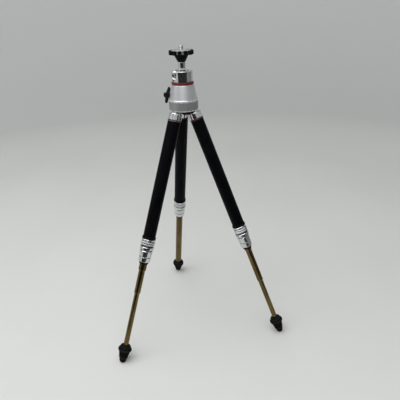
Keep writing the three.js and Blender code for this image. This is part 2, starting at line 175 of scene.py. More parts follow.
def revolve(name, outline, turns=96, angles=None):
    """A body of revolution about Z, from [(radius, height, corner mark)] going up the outside; the mark is kept on
    the points for worn edges and painted crease shade.

    outline may be a function of the angle. angles lists the angles where they are uneven.
    """
    bm = bmesh.new()
    wear_dirt_and_shade = bm.verts.layers.float.new("wear_dirt_and_shade")
    rings = []
    for angle in angles or even_angles(turns):
        section = outline(angle) if callable(outline) else outline
        ring = []
        for radius, height, worn in section:
            vertex = bm.verts.new((radius * math.cos(angle), radius * math.sin(angle), height))
            vertex[wear_dirt_and_shade] = worn
            ring.append(vertex)
        rings.append(ring)
    size = len(rings[0])
    for ring, following in zip(rings, rings[1:] + rings[:1]):
        for i in range(size):
            j = (i + 1) % size
            on_axis = max(abs(ring[k].co.x) + abs(ring[k].co.y) for k in (i, j)) < WELD
            if not on_axis:
                bm.faces.new((ring[i], following[i], following[j], ring[j]))
    return finished_mesh(name, bm)


def tube_outline(outer, inner, bottom, top, rounding):
    """A plain ring or tube with rounded rims."""
    inside = rounding / 2
    return rounded([
        (inner, bottom, inside),
        (outer, bottom, rounding),
        (outer, top, rounding),
        (inner, top, inside),
    ])


def rod_outline(radius, bottom, top, rounding):
    return rounded([
        (0, bottom, 0),
        (radius, bottom, rounding),
        (radius, top, rounding),
        (0, top, 0),
    ])


def slab(name, outline, thickness, rounding):
    """A flat plate with rounded edges: the outline in the XZ plane, centred on y = 0."""
    bm = bmesh.new()
    corners = [bm.verts.new((x, -thickness / 2, z)) for x, z, _ in outline]
    face = bm.faces.new(corners)
    grown = bmesh.ops.extrude_face_region(bm, geom=[face])
    moved = [item for item in grown["geom"] if isinstance(item, bmesh.types.BMVert)]
    bmesh.ops.translate(bm, verts=moved, vec=(0, thickness, 0))
    rims = [edge for edge in bm.edges if abs(edge.verts[0].co.y - edge.verts[1].co.y) < WELD]
    bmesh.ops.bevel(bm, geom=rims, offset=rounding, segments=3, profile=0.5, affect="EDGES")
    return finished_mesh(name, bm)


def box_mesh(name, size, centre):
    bm = bmesh.new()
    place = Matrix.Translation(centre) @ Matrix.Diagonal((*size, 1))
    bmesh.ops.create_cube(bm, size=1, matrix=place)
    return finished_mesh(name, bm)


def combined(name, mesh, *steps):
    """Applies booleans to a mesh. steps are (operation, mesh, place); gives the new mesh."""
    base = bpy.data.objects.new(name, mesh)
    bpy.context.scene.collection.objects.link(base)
    tools = []
    for operation, tool_mesh, place in steps:
        tool = bpy.data.objects.new("tool", tool_mesh)
        tool.matrix_world = place
        bpy.context.scene.collection.objects.link(tool)
        modifier = base.modifiers.new("step", "BOOLEAN")
        modifier.operation = operation
        modifier.solver = "MANIFOLD"
        modifier.object = tool
        tools.append(tool)
    bpy.context.view_layer.update()
    evaluated = base.evaluated_get(bpy.context.evaluated_depsgraph_get())
    made = bpy.data.meshes.new_from_object(evaluated)
    made.name = name
    made.materials.clear()  # the boolean leaves an empty slot
    for used in [base, *tools]:
        bpy.data.objects.remove(used)
    made.shade_smooth()
    made.set_sharp_from_angle(angle=SHARP)
    return made


def stand_for(node, mesh, place=HEAD):
    """Shows a mesh in place of a CAD node, on that node's body and with its finish."""
    piece = bpy.data.objects.new(f"{node}_piece", mesh)
    piece.matrix_world = place
    bpy.context.scene.collection.objects.link(piece)
    if not mesh.materials:
        mesh.materials.append(FINISHES[SLOT_OF[node]])
    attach(piece, BODY_OF[node])
    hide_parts(node)
    return piece


# ---------------------------------------------------------------- finishes


class Finish:
    """A Principled material, and the nodes that vary it over the surface."""

    def __init__(self, name, **sockets):
        self.material = bpy.data.materials.new(name)
        self.material.use_nodes = True
        tree = self.material.node_tree
        self.nodes, self.links = tree.nodes, tree.links
        self.shader = self.nodes["Principled BSDF"]
        for socket, value in sockets.items():
            self.shader.inputs[socket.replace("_", " ")].default_value = value
        self.place = self.nodes.new("ShaderNodeTexCoord").outputs["Object"]
        info = self.nodes.new("ShaderNodeObjectInfo")
        apart = 20  # how far apart in the noise two pieces may lie
        self.differs = self.math("MULTIPLY", info.outputs["Random"], apart)

    def math(self, operation, a, b):
        node = self.nodes.new("ShaderNodeMath")
        node.operation = operation
        for socket, value in zip(node.inputs, (a, b)):
            self.feed(socket, value)
        return node.outputs["Value"]

    def feed(self, socket, value):
        if isinstance(value, bpy.types.NodeSocket):
            self.links.new(value, socket)
        else:
            socket.default_value = value

    def grain(self, size, stretch=(1, 1, 1), detail=4, roughness=0.6):
        """Noise with features of a given size in metres, drawn out by stretch along each axis."""
        mapping = self.nodes.new("ShaderNodeMapping")
        mapping.inputs["Scale"].default_value = [1 / (size * factor) for factor in stretch]
        self.links.new(self.place, mapping.inputs["Vector"])
        noise = self.nodes.new("ShaderNodeTexNoise")
        noise.noise_dimensions = "4D"
        noise.inputs["Scale"].default_value = 1
        noise.inputs["Detail"].default_value = detail
        noise.inputs["Roughness"].default_value = roughness
        self.links.new(mapping.outputs["Vector"], noise.inputs["Vector"])
        self.links.new(self.differs, noise.inputs["W"])
        return noise.outputs["Fac"]

    def spread(self, value, low, high, to_low=0.0, to_high=1.0):
        """Maps low..high to to_low..to_high, held at the ends."""
        node = self.nodes.new("ShaderNodeMapRange")
        ends = {"From Min": low, "From Max": high, "To Min": to_low, "To Max": to_high}
        for socket, number in ends.items():
            node.inputs[socket].default_value = number
        self.links.new(value, node.inputs["Value"])
        return node.outputs["Result"]

    def corner(self):
        """1 on the outward corners of the mesh, -1 on the inward ones and 0 on its flats."""
        node = self.nodes.new("ShaderNodeAttribute")
        node.attribute_name = "wear_dirt_and_shade"
        return node.outputs["Fac"]

    def worn(self):
        return self.spread(self.corner(), 0, 1)

    def dirt_and_crease_shade(self):
        # Inward corners and creases: a mask for dirt and for painted shade.
        return self.spread(self.corner(), -0.15, -0.8)

    def height(self):
        """Height in the piece's own frame."""
        node = self.nodes.new("ShaderNodeSeparateXYZ")
        self.links.new(self.place, node.inputs["Vector"])
        return node.outputs["Z"]

    def mix(self, share, a, b):
        """Colour a, turning to colour b as share rises to 1."""
        node = self.nodes.new("ShaderNodeMix")
        node.data_type = "RGBA"
        factor, colour_a, colour_b = node.inputs[0], node.inputs[6], node.inputs[7]
        self.feed(factor, share)
        self.feed(colour_a, a)
        self.feed(colour_b, b)
        return node.outputs[2]

    def set(self, socket, value):
        self.links.new(value, self.shader.inputs[socket])

    def bump(self, value, depth):
        """Raises the surface by up to depth metres where value is 1, on top of earlier bumps."""
        node = self.nodes.new("ShaderNodeBump")
        node.inputs["Distance"].default_value = depth
        self.links.new(value, node.inputs["Height"])
        earlier = self.shader.inputs["Normal"].links
        if earlier:
            self.links.new(earlier[0].from_socket, node.inputs["Normal"])
        self.links.new(node.outputs["Normal"], self.shader.inputs["Normal"])


def rgb(red, green, blue):
    return (red, green, blue, 1)


def grey(shade):
    return rgb(shade, shade, shade)


ROUND_THE_AXIS = (30, 30, 1)  # turning marks: long round the axis, short along it
ALONG_THE_AXIS = (1, 1, 60)  # sliding marks


def chrome():
    finish = Finish("chrome", Metallic=1.0)
    cloud = finish.grain(7 * MM)
    marks = finish.grain(0.18 * MM, ROUND_THE_AXIS, detail=3)
    specks = finish.grain(0.9 * MM, detail=6, roughness=0.75)
    pitted = finish.spread(specks, 0.7, 0.76)
    tone = finish.spread(cloud, 0.35, 0.7)
    plated = finish.mix(tone, rgb(0.7, 0.71, 0.72), rgb(0.55, 0.56, 0.56))
    pits = finish.math("MULTIPLY", pitted, 0.7)
    tarnished = finish.mix(pits, plated, rgb(0.16, 0.14, 0.11))
    # Inward corners and grooves turn near black: dirt, and painted shade in the recesses.
    finish.set("Base Color", finish.mix(finish.dirt_and_crease_shade(), tarnished, rgb(0.02, 0.02, 0.018)))
    smudged = finish.spread(cloud, 0.3, 0.75, 0.05, 0.16)
    dulled = finish.math("MAXIMUM", pitted, finish.dirt_and_crease_shade())
    finish.set("Roughness", finish.math("ADD", smudged, finish.math("MULTIPLY", dulled, 0.4)))
    finish.bump(marks, 0.0015 * MM)
    finish.bump(finish.math("SUBTRACT", 1.0, pitted), 0.01 * MM)
    return finish.material


def satin_silver():
    """Blasted, with a clear coat; the band below the shoulder and the seat plate are less metallic and painted
    darker, as shade.
    """
    finish = Finish("satin_silver")
    housing_bottom, housing_top, _ = span("housing")
    shoulder = housing_bottom + SHOULDER_RISE
    band = finish.spread(finish.height(), shoulder, shoulder - 0.3 * MM)
    plate = finish.spread(finish.height(), housing_top, housing_top + 1 * MM)
    cloud = finish.grain(11 * MM)
    blasted = finish.grain(0.25 * MM, detail=2)
    marks = finish.grain(0.3 * MM, ROUND_THE_AXIS, detail=2)
    scuffs = finish.spread(finish.grain(2.5 * MM, (1, 1, 5), detail=8, roughness=0.8), 0.6, 0.68)
    edge = finish.math("MULTIPLY", finish.worn(), finish.spread(finish.grain(1.5 * MM), 0.35, 0.6))
    tone = finish.spread(cloud, 0.3, 0.7)
    bright = finish.mix(tone, rgb(0.62, 0.63, 0.64), rgb(0.53, 0.54, 0.55))
    # Painted shade: the band below the shoulder and the seat plate take a dark grey in place of the bright tone.
    dull_and_painted_shade = finish.math("MAXIMUM", band, plate)
    shaded_tone = finish.mix(dull_and_painted_shade, bright, rgb(0.24, 0.24, 0.245))
    scuffed = finish.mix(finish.math("MULTIPLY", scuffs, 0.35), shaded_tone, rgb(0.25, 0.25, 0.245))
    finish.set("Base Color", finish.mix(edge, scuffed, rgb(0.82, 0.82, 0.83)))
    finish.set("Metallic", finish.spread(dull_and_painted_shade, 0, 1, 0.88, 0.4))
    finish.set("Roughness", finish.spread(cloud, 0.3, 0.7, 0.34, 0.46))
    finish.bump(blasted, 0.012 * MM)
    finish.bump(marks, 0.006 * MM)
    return finish.material


def black_enamel():
    finish = Finish("black_enamel", IOR=1.2, Specular_IOR_Level=0.2)
    cloud = finish.grain(14 * MM)
    peel = finish.grain(1.6 * MM, detail=2)
    slides = finish.spread(finish.grain(0.5 * MM, (1, 1, 90), detail=3), 0.6, 0.7)
    chips = finish.spread(finish.grain(1.1 * MM, detail=6, roughness=0.7), 0.6, 0.66)
    bare = finish.math("MULTIPLY", finish.worn(), chips)
    tone = finish.spread(cloud, 0.3, 0.7)
    paint = finish.mix(tone, rgb(0.0012, 0.0012, 0.002), rgb(0.0025, 0.0025, 0.0035))
    rubbed = finish.mix(finish.math("MULTIPLY", slides, 0.25), paint, rgb(0.02, 0.02, 0.022))
    finish.set("Base Color", finish.mix(bare, rubbed, rgb(0.3, 0.29, 0.27)))
    finish.set("Metallic", finish.math("MULTIPLY", bare, 0.8))
    finish.set("Roughness", finish.spread(cloud, 0.3, 0.7, 0.34, 0.5))
    finish.bump(peel, 0.02 * MM)
    return finish.material


def black_coating(name, shade, roughness, bumps, bare):
    """Black plastic, rubber or blackened metal: a fine grain, a little dust and rubbed edges.

    shade is how much light it gives back, bumps the depth of its grain and bare the shade of
    its rubbed edges.
    """
    finish = Finish(name, IOR=1.2, Specular_IOR_Level=0.2)
    cloud = finish.grain(5 * MM)
    fine = finish.grain(0.3 * MM, detail=3)
    dust = finish.spread(finish.grain(1.4 * MM, detail=8, roughness=0.8), 0.55, 0.75)
    edge = finish.math("MULTIPLY", finish.worn(), finish.spread(finish.grain(0.8 * MM), 0.4, 0.62))
    body = finish.mix(finish.spread(cloud, 0.3, 0.7), grey(shade), grey(1.8 * shade))
    dusty = finish.mix(finish.math("MULTIPLY", dust, 0.15), body, rgb(0.03, 0.029, 0.026))
    rubbed = finish.math("MULTIPLY", edge, 0.6)
    finish.set("Base Color", finish.mix(rubbed, dusty, grey(bare)))
    finish.set("Roughness", finish.spread(cloud, 0.3, 0.7, roughness - 0.06, roughness + 0.08))
    finish.bump(fine, bumps)
    return finish.material


def brass():
    finish = Finish("brass", Metallic=1.0)
    cloud = finish.grain(9 * MM, (1, 1, 3), detail=6)
    slides = finish.grain(0.6 * MM, ALONG_THE_AXIS, detail=4)
    spots = finish.spread(finish.grain(1.2 * MM, (1, 1, 2), detail=8, roughness=0.8), 0.58, 0.7)
    edge = finish.math("MULTIPLY", finish.worn(), 0.6)
    drawn = finish.spread(slides, 0.35, 0.7)
    metal = finish.mix(drawn, rgb(0.13, 0.092, 0.032), rgb(0.23, 0.165, 0.062))
    aged = finish.mix(finish.spread(cloud, 0.35, 0.65), metal, rgb(0.095, 0.068, 0.026))
    spotted = finish.mix(finish.math("MULTIPLY", spots, 0.8), aged, rgb(0.028, 0.021, 0.012))
    finish.set("Base Color", finish.mix(edge, spotted, rgb(0.42, 0.32, 0.17)))
    finish.set("Roughness", finish.spread(cloud, 0.3, 0.7, 0.1, 0.2))
    finish.bump(slides, 0.003 * MM)
    return finish.material


def steel():
    finish = Finish("steel", Metallic=1.0)
    cloud = finish.grain(3 * MM)
    marks = finish.grain(0.15 * MM, ROUND_THE_AXIS, detail=3)
    tone = finish.spread(cloud, 0.3, 0.7)
    finish.set("Base Color", finish.mix(tone, rgb(0.3, 0.3, 0.31), rgb(0.2, 0.2, 0.2)))
    finish.set("Roughness", finish.spread(cloud, 0.3, 0.7, 0.25, 0.42))
    finish.bump(marks, 0.008 * MM)
    return finish.material


def red_fibre(name, low, high):
    finish = Finish(name, Specular_IOR_Level=0.4)
    cloud = finish.grain(3 * MM, detail=6)
    fibres = finish.grain(0.25 * MM, ROUND_THE_AXIS, detail=4)
    finish.set("Base Color", finish.mix(finish.spread(cloud, 0.3, 0.7), low, high))
    finish.set("Roughness", finish.spread(fibres, 0.3, 0.7, 0.38, 0.6))
    finish.bump(fibres, 0.02 * MM)
    return finish.material


FINISHES = {
    "chrome": chrome(),
    "satin_silver": satin_silver(),
    "black_enamel": black_enamel(),
    "steel": steel(),
    "brass": brass(),
    "red_fibre": red_fibre("red_fibre", rgb(0.17, 0.006, 0.01), rgb(0.08, 0.003, 0.005)),
    "dark_red": red_fibre("dark_red", rgb(0.1, 0.008, 0.012), rgb(0.04, 0.004, 0.006)),
    "black_plastic": black_coating(
        "black_plastic", shade=0.003, roughness=0.45, bumps=0.015 * MM, bare=0.04
    ),
    "black_metal": black_coating(
        "black_metal", shade=0.003, roughness=0.45, bumps=0.02 * MM, bare=0.08
    ),
    "rubber": black_coating("rubber", shade=0.0025, roughness=0.8, bumps=0.05 * MM, bare=0.04),
}


# ---------------------------------------------------------------- housing, hub and rings


def make_housing():
    bottom, top, radius = span("housing")
    top_radius = 14.7 * MM
    hub_bore = 16.6 * MM
    nut_bore = 13.2 * MM
    shelf = bottom + 13 * MM
    hub_ceiling = bottom + 9 * MM
    shoulder = bottom + SHOULDER_RISE
    groove = shoulder - 1.7 * MM
    groove_half = 0.25 * MM
    outline = rounded([
        (SPIGOT_BORE, shelf, 0.2 * MM),
        (nut_bore, shelf, 0),
        (nut_bore, hub_ceiling, 0.3 * MM),
        (hub_bore, hub_ceiling, 0.4 * MM),
        (hub_bore, bottom, 0.3 * MM),
        (radius, bottom, 1.5 * MM),
        (radius, groove - groove_half, 0.15 * MM),
        (radius - 0.3 * MM, groove, 0.1 * MM),
        (radius, groove + groove_half, 0.15 * MM),
        (radius, shoulder - 0.6 * MM, 0.5 * MM),
        (radius - 1 * MM, shoulder + 0.5 * MM, 0.3 * MM),
        (top_radius, top, 0.5 * MM),
        (SPIGOT_BORE, top, 0.3 * MM),
    ])
    shell = revolve("housing_shell", outline, 144)
    low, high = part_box("set_screw")
    holes = (
        ("wing_screw", 2.6 * MM, JOINTS["wing_turn"]["pos_m"][2]),
        ("set_screw", 1.5 * MM, (low.z + high.z) / 2),
    )
    drilled = []
    for node, hole_radius, height in holes:
        drill = revolve("drill", rod_outline(hole_radius, 8 * MM, 24 * MM, 0), 32)
        drilled.append(("DIFFERENCE", drill, radial_place(node_azimuth(node), height)))
    stand_for("housing", combined("housing_shell", shell, *drilled))


def make_leg_hub():
    """A disc with three lobes, slotted for the leg caps and swept clear of them as they fold."""
    lowest, top, _ = span("leg_hub")
    radius = 16.3 * MM
    lobe_radius = 8 * MM
    lobe_height = lowest + lobe_radius
    bottom = lobe_height - 5.3 * MM
    beyond, under, over = 40 * MM, 330 * MM, 380 * MM  # well clear of the hub
    pin = HEAD.inverted() @ leg_place("rear").translation
    pin_circle = pin.xy.length
    spread = math.radians(JOINTS["fold_rear"]["range_deg"][1])

    disc = revolve("hub", rod_outline(radius, bottom, top, 0.5 * MM))
    lobe_outline = rod_outline(lobe_radius, 9 * MM, radius - 0.4 * MM, 1.2 * MM)
    lobe = revolve("lobe", lobe_outline, 64)
    steps = []
    for i in range(3):
        lobe_azimuth = math.radians(30 + 120 * i)
        steps.append(("UNION", lobe, HEAD.inverted() @ radial_place(lobe_azimuth, lobe_height)))

    trim = revolve("trim", tube_outline(beyond, radius, under, over, 0))
    above = revolve("above", rod_outline(beyond, top, over, 0), 32)
    screw_room = revolve("screw_room", rod_outline(6.4 * MM, 354.6 * MM, 360 * MM, 0), 48)
    steps += [("DIFFERENCE", tool, AT_ORIGIN) for tool in (trim, above, screw_room)]

    slot_inner = pin_circle - 3.6 * MM
    slot_length = 20 * MM - slot_inner
    slot_centre = (slot_inner + slot_length / 2, 0, pin.z - 6 * MM)
    slot = box_mesh("slot", (slot_length, 6 * MM, 20 * MM), slot_centre)
    pin_hole = revolve("pin_hole", rod_outline(PIN_BORE, -7.5 * MM, 7.5 * MM, 0), 32)
    cap_room = revolve("cap_room", rod_outline(9.6 * MM, -20 * MM, -4.6 * MM, 0), 64)
    fold_steps = 5
    for leg in LEGS:
        place = HEAD.inverted() @ leg_place(leg)
        azimuth = math.atan2(place.translation.y, place.translation.x)
        turn = Matrix.Rotation(azimuth, 4, "Z")
        at_pin = turn @ Matrix.Translation((pin_circle, 0, pin.z))
        steps.append(("DIFFERENCE", slot, turn))
        steps.append(("DIFFERENCE", pin_hole, at_pin @ Matrix.Rotation(math.pi / 2, 4, "X")))
        for step in range(fold_steps):
            lean = Matrix.Rotation(-spread * step / (fold_steps - 1), 4, "Y")
            steps.append(("DIFFERENCE", cap_room, at_pin @ lean))

    shaft_hole = revolve("shaft_hole", rod_outline(1.4 * MM, under, 370 * MM, 0), 32)
    head_hole = revolve("head_hole", rod_outline(2.1 * MM, under, bottom - 0.6 * MM, 0), 32)
    for i in range(3):
        low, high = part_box(f"hub_screw_{i + 1}")
        middle = HEAD.inverted() @ ((low + high) / 2)
        at_screw = Matrix.Translation((middle.x, middle.y, 0))
        steps.append(("DIFFERENCE", shaft_hole, at_screw))
        steps.append(("DIFFERENCE", head_hole, at_screw))
    stand_for("leg_hub", combined("leg_hub_casting", disc, *steps))


def make_hub_screws():
    bottom, top, _ = span("hub_screw_1")
    head, shaft = 1.8 * MM, 1.1 * MM
    shoulder = bottom + 1.6 * MM
    outline = rounded([
        (0, bottom, 0),
        (head, bottom, 0.7 * MM),
        (head, shoulder, 0.1 * MM),
        (shaft, shoulder, 0),
        (shaft, top, 0.3 * MM),
        (0, top, 0),
    ])
    slot = box_mesh("screw_slot", (5 * MM, 0.55 * MM, 1.4 * MM), (0, 0, bottom))
    slot_turns = (0.4, 1.3, 2.2)  # each screw stopped where it was tight
    for i, slot_turn in enumerate(slot_turns):
        node = f"hub_screw_{i + 1}"
        low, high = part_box(node)
        middle = (low + high) / 2
        screw = revolve(node, outline, 32)
        slotted = combined(node, screw, ("DIFFERENCE", slot, Matrix.Rotation(slot_turn, 4, "Z")))
        stand_for(node, slotted, Matrix.Translation((middle.x, middle.y, 0)))


def make_rings():
    bottom, top, radius = span("friction_ring")
    ring = tube_outline(radius, SPIGOT_BORE, bottom, top, 0.5 * MM)
    stand_for("friction_ring", revolve("friction_ring", ring))
    bottom, top, radius = span("pan_washer")
    washer = tube_outline(radius, PAN_SCREW_BORE, bottom, top, 0.2 * MM)
    stand_for("pan_washer", revolve("pan_washer", washer, 64))


def make_set_screw():
    low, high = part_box("set_screw")
    place = radial_place(node_azimuth("set_screw"), (low.z + high.z) / 2)
    inner, outer, radius = span("set_screw", place)
    screw = revolve("set_screw", rod_outline(radius, inner, outer, 0.2 * MM), 32)
    slot = box_mesh("set_screw_slot", (4 * MM, 0.4 * MM, 1.4 * MM), (0, 0, outer))
    slot_turn = Matrix.Rotation(0.6, 4, "Z")
    stand_for("set_screw", combined("set_screw", screw, ("DIFFERENCE", slot, slot_turn)), place)


# ---------------------------------------------------------------- ball, socket and camera seat


def arc(radius, centre_height, start, end, steps, wear_dirt_and_shade=0.0):
    """Outline points on a circle about a point of the axis, by latitude in degrees."""
    points = []
    for step in range(steps + 1):
        latitude = math.radians(start + (end - start) * step / steps)
        point = (radius * math.cos(latitude), centre_height + radius * math.sin(latitude), wear_dirt_and_shade)
        points.append(point)
    return points


BALL_CENTRE = JOINTS["ball_slot_tilt"]["pos_m"][2]
BALL_RADIUS = 9 * MM
CAVITY = 9.3 * MM
CUP_OUTER = 10.5 * MM
POCKET = 10.8 * MM


def make_socket():
    bottom, top, radius = span("ball_socket")
    spigot = 9.2 * MM
    seat = BALL_CENTRE - 7 * MM
    mouth = 9.4 * MM
    spring_bore = 5.9 * MM
    spring_floor = 376.7 * MM
    lip = 36  # latitudes of the retaining lip and of the ledge over the swung cup
    ledge = -37.5
    lowest = -math.degrees(math.acos(spring_bore / POCKET))
    outside = rounded([
        (spigot, bottom, 0.3 * MM),
        (spigot, seat, 0),
        (radius, seat, 0.4 * MM),
        (radius, top, 0.9 * MM),
        (mouth, top, 0.4 * MM),
    ])
    inside = arc(CAVITY, BALL_CENTRE, lip, ledge, 14) + arc(POCKET, BALL_CENTRE, ledge, lowest, 6)
    well = [
        (spring_bore, spring_floor, 0.0),
        (PAN_SCREW_BORE, spring_floor, 0.0),
        (PAN_SCREW_BORE, bottom, 0.0),
    ]
    body = revolve("ball_socket", outside + inside + well, 144)
    half_width = 5.4 * MM
    past_wall = 20 * MM
    start = 0.5 * MM
    tilt = JOINTS["ball_side_tilt"]["axis"]
    azimuth = math.atan2(tilt[1], tilt[0])
    round_end = revolve("slot_end", rod_outline(half_width, start, past_wall, 0), 64)
    open_centre = (start + past_wall / 2, 0, BALL_CENTRE + past_wall / 2)
    open_end = box_mesh("slot", (past_wall, 2 * half_width, past_wall), open_centre)
    slotted = combined(
        "ball_socket",
        body,
        ("DIFFERENCE", round_end, HEAD.inverted() @ radial_place(azimuth, BALL_CENTRE)),
        ("DIFFERENCE", open_end, Matrix.Rotation(azimuth, 4, "Z")),
    )
    stand_for("ball_socket", slotted)


def make_ball_stem():
    _, top, _ = span("ball_stem")
    neck = 4.7 * MM
    collar = 5.1 * MM
    stud_floor = 400.7 * MM
    last_latitude = math.degrees(math.acos(neck / BALL_RADIUS)) - 3
    ball = arc(BALL_RADIUS, BALL_CENTRE, -90, last_latitude, 28)
    stem = rounded([
        (neck, BALL_CENTRE + 9.6 * MM, 0),
        (neck, top - 6 * MM, 0),
        (collar, top - 2 * MM, 0.8 * MM),
        (collar, top, 0.4 * MM),
        (STUD_BORE, top, 0.2 * MM),
        (STUD_BORE, stud_floor, 0),
        (0, stud_floor, 0),
    ])
    stand_for("ball_stem", revolve("ball_stem", ball + stem))


def thread_outline(major, depth, pitch, bottom, top, chamfer, per_pitch=8):
    """A screw thread's outline as a function of the angle: a V groove that climbs a pitch a turn."""
    rows = round((top - bottom) / pitch * per_pitch)
    steepness = 1.25
    crest = 0.12  # how much of the wave the flat crests take

    def section(angle):
        points = [(0, bottom, 0.0)]
        for row in range(rows + 1):
            height = bottom + (top - bottom) * row / rows
            phase = (height / pitch - angle / (2 * math.pi)) % 1
            wave = 1 - abs(2 * phase - 1)
            groove = min(1.0, max(0.0, steepness * wave - crest))
            radius = major - depth * groove
            from_end = min(height - bottom, top - height)
            radius = min(radius, major - max(0.0, chamfer - from_end))
            points.append((radius, height, 1.0 if groove < 0.1 else 0.0))
        points.append((0, top, 0.0))
        return points

    return section


def make_stud():
    bottom, top, radius = span("camera_stud")
    pitch = 1.27 * MM  # 1/4 inch, 20 threads to the inch
    thread = thread_outline(radius, 0.7 * MM, pitch, bottom, top, 0.5 * MM)
    stand_for("camera_stud", revolve("camera_stud", thread, 64))


def make_seat_plate():
    """A plate with rings cut in its top, which keep the camera from turning."""
    bottom, top, radius = span("seat_plate")
    rings = 5
    groove = 0.22 * MM
    corners = [(STUD_BORE, bottom, 0.1 * MM), (radius, bottom, 0.2 * MM), (radius, top, 0.35 * MM)]
    for i in range(rings):
        middle = radius - (i + 1.2) * (radius - STUD_BORE) / (rings + 1)
        for offset, sunk in ((1, 0), (0, 1), (-1, 0)):
            corners.append((middle + offset * groove, top - sunk * groove, 0.05 * MM))
    corners.append((STUD_BORE, top, 0.25 * MM))
    stand_for("seat_plate", revolve("seat_plate", rounded(corners)))


def make_star_nut():
    """The toothed knob: its cone and dish are turned, and its teeth grow out of the root circle."""
    bottom, top, tip = span("star_nut")
    teeth = 12
    neck = 5.1 * MM
    cone_radius = 9.6 * MM
    rim = bottom + 8.7 * MM
    turned = math.radians(11.8)
    plate_room = 12.8 * MM
    floor = 419.3 * MM
    root = 12.05 * MM
    edge = 0.35 * MM
    lower = rounded([
        (STUD_BORE, bottom, 0.2 * MM),
        (neck, bottom, 0.3 * MM),
        (cone_radius, rim, 0.6 * MM),
        (root, rim, 0),
    ])[:-1]
    tooth = rounded([
        (root, rim, 0),
        (tip, rim, edge),
        (tip, top, edge),
        (plate_room, top, edge / 2),
        (plate_room, floor, 0),
        (STUD_BORE, floor, 0),
    ])[1:-1]
    half = math.pi / teeth  # angle from the middle of a tooth to the middle of a notch
    notch = 1.4 * MM / ((root + tip) / 2)
    flank = 0.35 * MM / tip
    flat = half - notch - flank

    def section(angle):
        away = abs((angle + half) % (2 * half) - half)
        into_flank = min(1.0, max(0.0, (half - notch - away) / flank))
        grown = math.sqrt(max(0.0, 1 - (1 - into_flank) ** 2))
        points = list(lower)
        for radius, height, worn in tooth:
            raised = max(0.0, height - floor)
            sunk = min(height, floor)
            points.append((root + (radius - root) * grown, sunk + raised * grown, worn))
        points.append((STUD_BORE, floor, 0.0))
        return points

    flat_steps = 4
    flank_steps = 4
    offsets = [flat * step / flat_steps for step in range(flat_steps)]
    for step in range(flank_steps + 1):
        offsets.append(flat + flank * (1 - math.cos(math.pi / 2 * step / flank_steps)))
    offsets.append(half - notch / 2)
    angles = []
    for i in range(teeth):
        middle = 2 * half * i
        angles += [middle - offset for offset in reversed(offsets[1:])]
        angles += [middle + offset for offset in offsets]
        angles.append(middle + half)
    star = revolve("star_nut", section, angles=angles)
    stand_for("star_nut", star, HEAD @ Matrix.Rotation(turned, 4, "Z"))


def make_inner_head():
    """The pieces under the ball: friction cup, disc springs and pan screw."""
    rim, bore = -54, -72  # latitudes of the shell's two edges
    shell = arc(CUP_OUTER, BALL_CENTRE, bore, rim, 8) + arc(CAVITY, BALL_CENTRE, rim, bore, 8)
    stand_for("friction_cup", revolve("friction_cup", shell, 64))

    bottom, top, radius = span("cup_spring")
    middle = (bottom + top) / 2
    gauge = 0.8 * MM
    inner = 3.4 * MM
    discs = rounded([
        (inner, bottom, 0.1 * MM),
        (inner + gauge, bottom, 0.1 * MM),
        (radius, middle - gauge / 2, 0.15 * MM),
        (radius, middle + gauge / 2, 0.15 * MM),
        (inner + gauge, top, 0.1 * MM),
        (inner, top, 0.1 * MM),
        (radius - gauge, middle + gauge / 4, 0),
        (radius - gauge, middle - gauge / 4, 0),
    ])
    stand_for("cup_spring", revolve("cup_spring", discs, 64))

    bottom, top, radius = span("pan_screw")
    head_top = bottom + 3.5 * MM
    shaft = 3 * MM
    screw = rounded([
        (0, bottom, 0),
        (radius, bottom, 0.8 * MM),
        (radius, head_top, 0.2 * MM),
        (shaft, head_top, 0.1 * MM),
        (shaft, top, 0.4 * MM),
        (0, top, 0),
    ])
    slot = box_mesh("pan_screw_slot", (14 * MM, 1.2 * MM, 2.4 * MM), (0, 0, bottom))
    turned = revolve("pan_screw", screw, 64)
    stand_for("pan_screw", combined("pan_screw", turned, ("DIFFERENCE", slot, AT_ORIGIN)))


def make_wing_screw():
    """The screw that locks the head's turning, and the pad it pushes."""
    joint = JOINTS["wing_turn"]
    azimuth = math.atan2(joint["axis"][1], joint["axis"][0])
    place = radial_place(azimuth, joint["pos_m"][2])
    low, high, radius = span("clamp_pad", place)
    pad = revolve("clamp_pad", rod_outline(radius, low, high, 0.25 * MM), 32)
    stand_for("clamp_pad", pad, place)

    inner, outer, _ = span("wing_screw", place)
    root = 19.7 * MM
    tip = 12.2 * MM
    half = [
        (3 * MM, root, 0.8 * MM),
        (tip - 1.6 * MM, root + 0.4 * MM, 1.6 * MM),
        (tip, root + 1.9 * MM, 1.2 * MM),
        (tip - 0.9 * MM, root + 3.6 * MM, 1.6 * MM),
        (3 * MM, root + 4.9 * MM, 1.2 * MM),
    ]
    mirrored = [(-x, z, rounding) for x, z, rounding in reversed(half)]
    wings = slab("wings", rounded(half + mirrored), 3.2 * MM, 0.8 * MM)
    shaft = 2.2 * MM
    boss = rounded([
        (0, inner, 0),
        (shaft, inner, 0.3 * MM),
        (shaft, root, 0),
        (3.6 * MM, root, 0.3 * MM),
        (3.1 * MM, outer, 0.7 * MM),
        (0, outer, 0),
    ])
    turned = math.radians(42)
    screw = combined("wing_screw", revolve("boss", boss, 64), ("UNION", wings, AT_ORIGIN))
    stand_for("wing_screw", screw, place @ Matrix.Rotation(turned, 4, "Z"))


# ---------------------------------------------------------------- leg pieces


